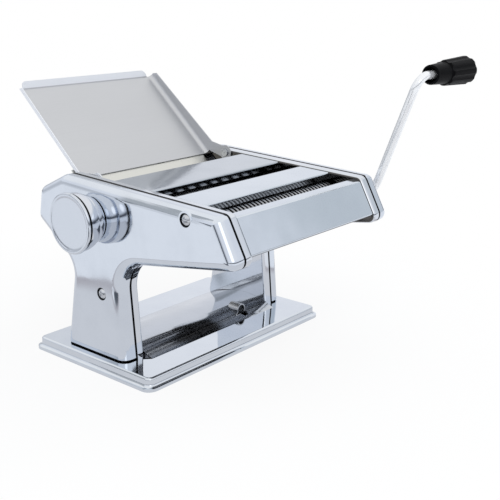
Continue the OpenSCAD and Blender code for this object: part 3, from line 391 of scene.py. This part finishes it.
# Painted shade: the inner faces above the legs are darker.
inner_shade = frame_metal.axis("Z").between(inner_shade_from, inner_shade_to)
inner_shade = inner_shade * (1 - frame_out.between(inner_wall, inner_wall + seam_fade))
frame_haze = polish_haze(frame_metal)
frame_tone = frame_metal.tint(frame_haze, frame_bright, frame_cloudy)
frame_tone = frame_metal.tint(inner_shade, frame_tone, inner_shade_dark)
frame_chrome = frame_metal.surface(
    frame_metal.tint(in_seam, frame_tone, painted_shade_black),
    0.06 + frame_haze * haze_dulls + in_seam * 0.5,
    press_waves(frame_metal, scale=24, height=0.0005),
)
dress(frame_chrome, "left_inner_frame", "right_inner_frame")

# Tie rods, posts and ferrules: turned steel bars that hold the frames apart, carry
# the covers, and line the crank holes.
dress(machined, "tie_rods", "cover_posts", "crank_ferrules")
dress(screw_zinc, "tie_rod_screws")

# Bearings: flanged bushes set in the frames' holes, and the two blocks that carry the
# front roller's core. All are moulded in off-white nylon.
nylon_white, nylon_cloudy = (0.80, 0.78, 0.70), (0.72, 0.70, 0.62)
nylon_grain = 0.00003
nylon = Finish("white_nylon")
nylon_cloud = nylon.noise(120, detail=3).between(0.35, 0.75)
dress(
    nylon.surface(
        nylon.tint(nylon_cloud, nylon_white, nylon_cloudy),
        0.42 + nylon_cloud * 0.1,
        nylon.bump(nylon.noise(1500, detail=2), nylon_grain),
        metallic=0.0,
        Subsurface_Weight=0.08,
    ),
    "smooth_bushes",
    "cutter_bushes",
    "left_regulator_block",
    "right_regulator_block",
)

# Smooth rollers: ground and anodised aluminium. The rear one turns in bushes; the
# front one turns on a slotted steel core that the regulator's cams push.
ground = turned_metal(
    "ground_roller", (0.52, 0.53, 0.55), (0.42, 0.43, 0.45), roughness=0.2, lines=1500
)
dress(ground, "fixed_roller", "adjustable_roller")
dress(machined, "roller_core", "regulator_shaft", "smooth_scrapers")

# Gears: hardened steel spur gears behind the right cover, dark with oil. Each turns
# with its roller, and they mesh in pairs.
gear_grey, gear_oily = (0.46, 0.45, 0.43), (0.16, 0.13, 0.09)
gear = Finish("oiled_gear_steel")
gear_oil = gear.noise(140, detail=5, roughness=0.7).between(0.4, 0.75)
gear_cut = gear.noise(1800, detail=2, stretch=(1, 0.05, 0.05))
dress(
    gear.surface(
        gear.tint(gear_oil, gear_grey, gear_oily),
        0.34 - gear_oil * 0.14 + gear_cut * 0.1,
        gear.bump(gear_cut, tool_depth),
    ),
    "adjustable_roller_gear",
    "fixed_roller_gear",
    "narrow_drive_gear",
    "narrow_driven_gear",
    "wide_drive_gear",
    "wide_driven_gear",
)

# Cutter rollers: anodised aluminium turned into rows of square blades that run into
# each other's grooves, with steel combs below that keep the grooves clear.
blades = turned_metal(
    "cutter_alloy", (0.44, 0.45, 0.47), (0.30, 0.31, 0.33), roughness=0.2, lines=3200
)
dress(
    blades,
    "narrow_drive_cutter",
    "narrow_driven_cutter",
    "wide_drive_cutter",
    "wide_driven_cutter",
)
# The combs' dark tone is painted shade under the cutters.
comb = turned_metal(
    "comb_spring_steel", (0.20, 0.20, 0.21), (0.14, 0.14, 0.15), roughness=0.26, lines=900
)
dress(comb, "narrow_combs", "wide_combs")

# Panels: plain folded sheets of chromed steel across the front, top and back, held
# between the frames. The faces that look down are darkened with painted shade.
panel_chrome = plated(
    "panel_chrome",
    (0.69, 0.74, 0.80),
    (0.65, 0.70, 0.76),
    roughness=0.09,
    wave=0.0003,
    wave_scale=30,
    painted_shade_below=True,
)
dress(panel_chrome, "front_panel", "middle_cover", "rear_panel")
# The top cover takes a darker copy of the panels' colours: painted shade under the tray.
top_chrome = plated(
    "top_chrome",
    (0.54, 0.58, 0.63),
    (0.50, 0.54, 0.59),
    roughness=0.09,
    wave=0.0003,
    wave_scale=30,
    painted_shade_below=True,
)
dress(top_chrome, "top_cover")

# Side covers: deep pressed shells with rounded edges, mirror plated, each held by two
# domed cross-head screws in dished seats. Painted shade blackens their rims in the seam
# and a ring round each screw head.
seam_to = 0.0828
seam_wider_on_top = 0.0012
looks_upward = (0.8, 0.95)
lower_screw = (-0.0053, 0.0607)
cover_screw_places = {-1: ((-0.0955, 0.1336), lower_screw), 1: ((-0.0784, 0.1336), lower_screw)}
side_from, side_to = 0.0, 0.01
seat_inner, seat_outer = 0.0040, 0.0049
cover_bright, cover_cloudy = (0.72, 0.765, 0.83), (0.68, 0.725, 0.79)


def off_axis(finish, y, z):
    """Distance from a line along X through y and z."""
    across = finish.axis("Y") - y
    up = finish.axis("Z") - z
    return (across * across + up * up) ** 0.5


cover = Finish("cover_chrome")
cover_side = cover.axis("X")
cover_tops = cover.facing_up().between(*looks_upward)
cover_rim = abs(cover_side) - cover_tops * seam_wider_on_top
# Painted shade: black in the seam, wider where faces look up, and round each screw.
painted_gap_shade = 1 - cover_rim.between(seam_to, seam_to + seam_fade)
for hand, screw_places in cover_screw_places.items():
    on_hand = (cover_side * hand).between(side_from, side_to)
    for screw_y, screw_z in screw_places:
        screw_reach = off_axis(cover, screw_y, screw_z)
        seat = on_hand * screw_reach.between(seat_inner - seam_fade, seat_inner)
        seat = seat * (1 - screw_reach.between(seat_outer, seat_outer + seam_fade))
        painted_gap_shade = painted_gap_shade + seat
cover_haze = polish_haze(cover)
cover_tone = cover.tint(cover_haze, cover_bright, cover_cloudy)
cover_chrome = cover.surface(
    cover.tint(painted_gap_shade, cover_tone, painted_shade_black),
    0.06 + cover_haze * haze_dulls + wipe_marks(cover) * wipes_dull + painted_gap_shade * 0.4,
    press_waves(cover, scale=22, height=0.0005),
)
dress(cover_chrome, "left_side_cover", "right_side_cover")
dress(screw_zinc, "cover_screws")

# Regulator knob: turned and chrome plated, with its groove behind the face disc painted
# black as shade.
# It is pulled out against a spring, and its pin drops into the brass index plate.
knob_low, knob_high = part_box("regulator_knob")
knob_middle = (knob_low + knob_high) / 2
knob_groove = 0.0020


def turned_round(name, colour, dark, roughness, pitch, depth, groove_end=None):
    """Lathe-turned metal with lines round the knob's axis, painted black as shade past a groove's
    end.
    """
    metal = Finish(name)
    along = metal.axis("X")
    rings = off_axis(metal, knob_middle.y, knob_middle.z) + along
    lines = metal.node(
        "TexNoise",
        {"noise_dimensions": "1D"},
        {"W": rings, "Scale": 1.0 / pitch, "Detail": 2.0},
    )
    haze = metal.noise(70, detail=4, roughness=0.6).between(0.4, 0.75)
    tone = metal.tint(lines, dark, colour)
    dullness = roughness + lines * 0.05 + haze * 0.05
    if groove_end is not None:
        # Painted shade: black in the groove behind the face disc.
        outside = 1 - along.between(groove_end - seam_fade, groove_end)
        tone = metal.tint(outside, tone, painted_shade_black)
        dullness = dullness + outside * 0.4
    return metal.surface(tone, dullness, metal.bump(lines, depth))


knob_chrome = turned_round(
    "knob_chrome",
    (0.74, 0.77, 0.82),
    (0.66, 0.69, 0.75),
    roughness=0.05,
    pitch=0.0005,
    depth=0.000004,
    groove_end=knob_low.x + knob_groove,
)
dress(knob_chrome, "regulator_knob")
knob_satin = turned_round(
    "knob_face_satin",
    (0.72, 0.76, 0.82),
    (0.64, 0.68, 0.74),
    roughness=0.13,
    pitch=0.0003,
    depth=0.000006,
)
dress(knob_satin, "knob_face_disc")
index_brass = turned_round(
    "index_brass",
    (0.66, 0.50, 0.24),
    (0.52, 0.38, 0.17),
    roughness=0.22,
    pitch=0.0006,
    depth=0.00001,
)
dress(index_brass, "index_plate", "spring_nut")
dress(machined, "index_pin")

# Knob spring: a coil of drawn steel wire between the knob and the nut. Here it is one
# rigid coil that moves with the regulator and doesn't close up as the knob is pulled.
coil_radius = 0.0062
coil_wire = 0.0004
coil_turns = 4.0
coil_points = 40
wire_sides = 10
spring_low, spring_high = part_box("knob_spring")


def coil_tree():
    """A round wire swept along a spiral, with its sizes as named inputs."""
    tree = bpy.data.node_groups.new("wire_coil", "GeometryNodeTree")
    face = tree.interface
    sizes = {
        "Radius": coil_radius,
        "Wire": coil_wire,
        "Turns": coil_turns,
        "Length": spring_high.x - spring_low.x - 2 * coil_wire,
    }
    for name, value in sizes.items():
        face.new_socket(name, in_out="INPUT", socket_type="NodeSocketFloat").default_value = value
    face.new_socket("Geometry", in_out="OUTPUT", socket_type="NodeSocketGeometry")
    start = tree.nodes.new("NodeGroupInput")
    spiral = tree.nodes.new("GeometryNodeCurveSpiral")
    spiral.inputs["Resolution"].default_value = coil_points
    profile = tree.nodes.new("GeometryNodeCurvePrimitiveCircle")
    profile.inputs["Resolution"].default_value = wire_sides
    tube = tree.nodes.new("GeometryNodeCurveToMesh")
    tube.inputs["Fill Caps"].default_value = True
    whole = tree.nodes.new("GeometryNodeRealizeInstances")
    finish = tree.nodes.new("GeometryNodeSetMaterial")
    finish.inputs["Material"].default_value = machined
    end = tree.nodes.new("NodeGroupOutput")
    link = tree.links.new
    link(start.outputs["Turns"], spiral.inputs["Rotations"])
    link(start.outputs["Radius"], spiral.inputs["Start Radius"])
    link(start.outputs["Radius"], spiral.inputs["End Radius"])
    link(start.outputs["Length"], spiral.inputs["Height"])
    link(start.outputs["Wire"], profile.inputs["Radius"])
    link(spiral.outputs["Curve"], tube.inputs["Curve"])
    link(profile.outputs["Curve"], tube.inputs["Profile Curve"])
    link(tube.outputs["Mesh"], whole.inputs["Geometry"])
    link(whole.outputs[0], finish.inputs["Geometry"])
    link(finish.outputs[0], end.inputs[0])
    return tree


def plain_piece(tree, name, place):
    """The mesh that a tree makes, put in place and freed from its modifier."""
    maker = new_object(name + "_maker", bpy.data.meshes.new(name + "_maker"))
    maker.modifiers.new("made", "NODES").node_group = tree
    graph = bpy.context.evaluated_depsgraph_get()
    mesh = bpy.data.meshes.new_from_object(maker.evaluated_get(graph))
    bpy.data.objects.remove(maker)
    mesh.transform(place)
    mesh.polygons.foreach_set("use_smooth", [True] * len(mesh.polygons))
    return new_object(name, mesh)


coil = plain_piece(
    coil_tree(),
    "knob_coil_spring",
    Matrix.Translation((spring_low.x + coil_wire, knob_middle.y, knob_middle.z))
    @ Matrix.Rotation(math.radians(90), 4, "Y"),
)
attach(coil, "regulator")
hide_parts("knob_spring")
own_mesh(coil)

# Feed guide and tray: satin sheet. The tray is folded from brushed sheet, with raised
# sides, and swings on two rivets. Its lip and its low side wall are painted bright as a
# highlight.
brush_depth = 0.00002
painted_sheen = (0.86, 0.88, 0.92)


def brushed(sheet, colour, dark, roughness, scale, painted_bright=None):
    """Sheet brushed across the machine: hair lines along X, and a painted highlight where a mask
    is given.
    """
    hair = sheet.noise(scale, detail=3, roughness=0.65, stretch=(0.012, 1, 1))
    broad = sheet.noise(14, detail=2, stretch=(0.4, 1, 1)).between(0.3, 0.75)
    tone = sheet.tint(hair * 0.7 + broad * 0.3, dark, colour)
    metallic = 1.0
    # Painted highlight: bright and half as metallic where the mask is set.
    if painted_bright is not None:
        tone = sheet.tint(painted_bright, tone, painted_sheen)
        metallic = 1 - painted_bright * 0.5
    return sheet.surface(tone, roughness + hair * 0.12, sheet.bump(hair, brush_depth), metallic)


# The guide's faint cream tint is a painted reflection of dough.
guide_satin = brushed(
    Finish("guide_satin"), (0.77, 0.77, 0.73), (0.69, 0.69, 0.65), roughness=0.28, scale=900
)
dress(guide_satin, "feed_guide")

tray_foot = (0.040, 0.140)
tray_angle = math.radians(42.3)
tray_length = 0.0949
lip_start = tray_length - 0.0002
low_wall = -0.0708
edge_fade = 0.0006
tray = Finish("tray_brushed")
up_slope = (tray.axis("Y") - tray_foot[0]) * math.cos(tray_angle)
up_slope = up_slope + (tray.axis("Z") - tray_foot[1]) * math.sin(tray_angle)
# Where the painted highlight goes: the tray's lip and its low side wall.
on_lip = up_slope.between(lip_start, lip_start + edge_fade)
on_low_wall = 1 - tray.axis("X").between(low_wall, low_wall + edge_fade)
tray_brushed = brushed(
    tray,
    (0.66, 0.67, 0.69),
    (0.58, 0.59, 0.61),
    roughness=0.34,
    scale=1400,
    painted_bright=on_lip.larger(on_low_wall),
)
dress(tray_brushed, "feed_tray")
dress(screw_zinc, "tray_rivets")

# Crank: a bent bar of bright chromed steel with a cross pin that drives the socket,
# and a loose black grip moulded with flutes and a domed end.
rod_bright, rod_cloudy = (0.92, 0.93, 0.94), (0.86, 0.87, 0.89)
rod_waves = 0.00001
rod = Finish("rod_chrome")
rod_haze = rod.noise(90, detail=4, roughness=0.6).between(0.4, 0.75)
dress(
    rod.surface(
        rod.tint(rod_haze, rod_bright, rod_cloudy),
        0.08 + rod_haze * 0.06,
        rod.bump(rod.noise(160, detail=2), rod_waves),
        metallic=0.5,
    ),
    "crank_rod",
)
dress(machined, "crank_drive_pin", "grip_retainer")

grip_black, grip_worn = (0.003, 0.003, 0.0035), (0.006, 0.006, 0.007)
grip_grain = 0.00003
grip = Finish("grip_plastic")
grip_mottle = grip.noise(140, detail=4, roughness=0.6).between(0.4, 0.8)
dress(
    grip.surface(
        grip.tint(grip_mottle, grip_black, grip_worn),
        0.36 + grip_mottle * 0.1,
        grip.bump(grip.noise(1600, detail=2), grip_grain),
        metallic=0.0,
        Specular_IOR_Level=0.03,
    ),
    "crank_grip",
    "grip_end_cap",
)

# Studio floor: pale paper with a grey mat under the machine and a dark card to its left,
# which only the plating mirrors. The camera sees white paper and the machine's shadow.
floor_half = 40.0
floor_corners = [(-1, -1, 0), (1, -1, 0), (1, 1, 0), (-1, 1, 0)]
floor_mesh = bpy.data.meshes.new("studio_floor")
floor_mesh.from_pydata(floor_corners, [], [(0, 1, 2, 3)])
floor_mesh.transform(Matrix.Scale(floor_half, 4))
floor = new_object("studio_floor", floor_mesh)

paper_near, paper_far = (0.90, 0.92, 0.96), (0.12, 0.13, 0.16)
paper_left_back, paper_right = (0.76, 0.78, 0.82), (0.92, 0.93, 0.97)
paper_dims = (1.3, 2.6)
left_back_way = (-0.78, 0.62, 0.0)
paper_left_back_edge, paper_right_edge = (1.0, 1.5), (0.5, 0.9)
card_dark = (0.10, 0.11, 0.13)
card_front, card_back, card_right = (-0.22, -0.16), (0.02, 0.06), (-0.30, -0.24)
mat_grey, mat_border_grey = (0.74, 0.745, 0.77), (0.49, 0.465, 0.49)
mat_turn = math.radians(-12.6)
mat_half = 0.2585
mat_border = 0.034
mat_longer = 0.12
mat_fade = 0.004
diffuse_white = (0.97, 0.97, 0.97, 1)
plain_white = (1, 1, 1, 1)
shadow_share = 0.14
shadow_ends = (0.12, 0.40)


def light_path(shader, kinds):
    """1 for rays of the named kinds, 0 for all others."""
    return sum(shader.node("LightPath", {}, {}, f"Is {kind} Ray") for kind in kinds)


paper = Finish("floor_paper")
paper_x, paper_y = paper.axis("X"), paper.axis("Y")
reach = paper.node("VectorMath", {"operation": "LENGTH"}, {0: paper.place}, "Value")
sweep = paper.tint(reach.between(*paper_dims), paper_near, paper_far)
left_back = paper_x * left_back_way[0] + paper_y * left_back_way[1]
sweep = paper.tint(left_back.between(*paper_left_back_edge), sweep, paper_left_back)
left_card = paper_y.between(*card_front) * (1 - paper_y.between(*card_back))
left_card = left_card * (1 - paper_x.between(*card_right))
sweep = paper.tint(left_card, sweep, card_dark)
mat_across = abs(paper_x * math.cos(mat_turn) + paper_y * math.sin(mat_turn))
mat_along = abs(paper_y * math.cos(mat_turn) - paper_x * math.sin(mat_turn)) - mat_longer
mat_out = mat_across.larger(mat_along)
mat_shade = paper.tint(mat_out.between(mat_half - mat_border, mat_half), mat_grey, mat_border_grey)
sweep = paper.tint(mat_out.between(mat_half, mat_half + mat_fade), mat_shade, sweep)
sweep = paper.tint(paper_x.between(*paper_right_edge), sweep, paper_right)
paper_lit = paper.node("BsdfDiffuse", {}, {"Color": diffuse_white})
paper_mirrored = paper.node("Emission", {}, {"Color": sweep, "Strength": 1.0})
paper_clean = paper.node("Emission", {}, {"Color": plain_white, "Strength": 1.0})
clean_share = (1 - shadow_share) + reach.between(*shadow_ends) * shadow_share
paper_seen = paper.node("MixShader", {}, {0: clean_share, 1: paper_lit, 2: paper_clean})
camera_rays = light_path(paper, ["Camera"])
paper_plain = paper.node("MixShader", {}, {0: camera_rays, 1: paper_lit, 2: paper_seen})
mirror_rays = light_path(paper, ["Glossy", "Transmission"])
paper_whole = paper.node("MixShader", {}, {0: mirror_rays, 1: paper_plain, 2: paper_mirrored})
paper.node("OutputMaterial", {}, {"Surface": paper_whole})
floor_mesh.materials.append(paper.material)

# Studio tent: pale walls over a dark horizon, with a grey flag, a grey card and a bright
# pane, which only the plating mirrors. The camera sees white, and the light is even.
horizon_dark, wall_pale, roof_white = (0.09, 0.10, 0.12), (0.86, 0.88, 0.93), (1.0, 1.0, 1.0)
wall_foot, roof_edge = (0.03, 0.22), (0.40, 0.62)
left_grey = (0.62, 0.64, 0.68)
left_edge, left_top = (0.55, 0.9), (0.2, 0.3)
flag_way, flag_grey = (0.13, 1.0, 0.0), (0.46, 0.48, 0.50)
flag_front, flag_back = (0.554, 0.562), (0.605, 0.627)
flag_foot, flag_right = (0.12, 0.2), (0.12, 0.25)
right_way, right_pale, right_grey = (0.76, 0.65, 0.1), (0.92, 0.93, 0.97), (0.62, 0.64, 0.67)
right_edge, right_turn = (0.72, 0.93), (0.0, 0.3)
grey_card_way, grey_card_tone = (0.606, 0.795, 0.0), (0.66, 0.70, 0.74)
grey_card_front, grey_card_back = (-0.02, 0.07), (0.3, 0.5)
grey_card_left, grey_card_top = (0.1, 0.4), (0.45, 0.55)
pane_way, pane_bright, pane_edge = (-0.444, -0.752, 0.437), (1.5, 1.5, 1.5), (0.955, 0.985)
room_light, room_strength = (0.93, 0.96, 1.0, 1), 0.75
world = bpy.data.worlds.new("studio")
bpy.context.scene.world = world
world.use_nodes = True
sky = Nodes(world.node_tree)
heading = sky.node("TexCoord", {}, {}, "Generated")
height = sky.part(heading, "Z")


def towards(way):
    """1 for rays that run straight that way, 0 for those square to it."""
    unit = Vector(way).normalized()
    return sky.node("VectorMath", {"operation": "DOT_PRODUCT"}, {0: heading, 1: unit}, "Value")


tent = sky.tint(height.between(*wall_foot), horizon_dark, wall_pale)
tent = sky.tint(height.between(*roof_edge), tent, roof_white)
past_flag = towards(flag_way).between(*flag_back)
left_horizon = towards(left_back_way).between(*left_edge) * (1 - height.between(*left_top))
tent = sky.tint(left_horizon * past_flag, tent, left_grey)
flag = (1 - past_flag) * towards(flag_way).between(*flag_front)
flag = flag * height.between(*flag_foot) * towards((-1, 0, 0)).between(*flag_right)
tent = sky.tint(flag, tent, flag_grey)
right_tone = sky.tint(towards((-1, 1, 0)).between(*right_turn), right_pale, right_grey)
tent = sky.tint(towards(right_way).between(*right_edge), tent, right_tone)
card_heading = towards(grey_card_way)
grey_card = card_heading.between(*grey_card_front) * (1 - card_heading.between(*grey_card_back))
grey_card = grey_card * towards((1, 0, 0)).between(*grey_card_left)
grey_card = grey_card * (1 - height.between(*grey_card_top))
tent = sky.tint(grey_card, tent, grey_card_tone)
tent = sky.tint(towards(pane_way).between(*pane_edge), tent, pane_bright)
room = sky.node("Background", {}, {"Color": room_light, "Strength": room_strength})
room_mirrored = sky.node("Background", {}, {"Color": tent, "Strength": 1.0})
room_white = sky.node("Background", {}, {"Color": plain_white, "Strength": 1.0})
mirror_rays = light_path(sky, ["Glossy", "Transmission"])
room_plain = sky.node("MixShader", {}, {0: mirror_rays, 1: room, 2: room_mirrored})
camera_rays = light_path(sky, ["Camera"])
room_whole = sky.node("MixShader", {}, {0: camera_rays, 1: room_plain, 2: room_white})
sky.node("OutputWorld", {}, {"Surface": room_whole})

# Softboxes: two wide soft lamps aimed at the machine, one from the front left and one
# from the right. They light paper and plastic, and the plating doesn't mirror them.
machine_middle = (0, -0.03, 0.1)


def soft_lamp(name, place, size, watts):
    """A rectangular lamp that looks at the machine's middle."""
    lamp = bpy.data.lights.new(name, "AREA")
    lamp.shape = "RECTANGLE"
    lamp.size, lamp.size_y = size
    lamp.energy = watts
    holder = new_object(name, lamp)
    holder.location = place
    holder.rotation_mode = "QUATERNION"
    holder.rotation_quaternion = (Vector(machine_middle) - Vector(place)).to_track_quat("-Z", "Y")
    holder.visible_glossy = False


soft_lamp("key_softbox", place=(-0.9, -1.0, 1.3), size=(0.9, 0.7), watts=9)
soft_lamp("side_softbox", place=(1.3, -0.5, 0.9), size=(0.7, 0.9), watts=5)

# Camera: it stands where the photograph was taken, in front and to the left, and looks
# slightly down. Its place and lens come from a fit to the photograph.
camera_place = (-0.49623, -0.49302, 0.2817)
camera_azimuth = math.radians(-49.72)
camera_elevation = math.radians(16.67)
camera_lens = 62.72
camera_film = 36
nearest_seen = 0.01
view_back = Vector(
    (
        math.sin(camera_azimuth) * math.cos(camera_elevation),
        -math.cos(camera_azimuth) * math.cos(camera_elevation),
        math.sin(camera_elevation),
    )
)
camera = new_object("camera", bpy.data.cameras.new("camera"))
camera.data.lens = camera_lens
camera.data.sensor_width = camera_film
camera.data.clip_start = nearest_seen
camera.location = camera_place
camera.rotation_mode = "QUATERNION"
camera.rotation_quaternion = (-view_back).to_track_quat("-Z", "Y")
bpy.context.scene.camera = camera
bpy.context.scene.view_settings.view_transform = "Standard"
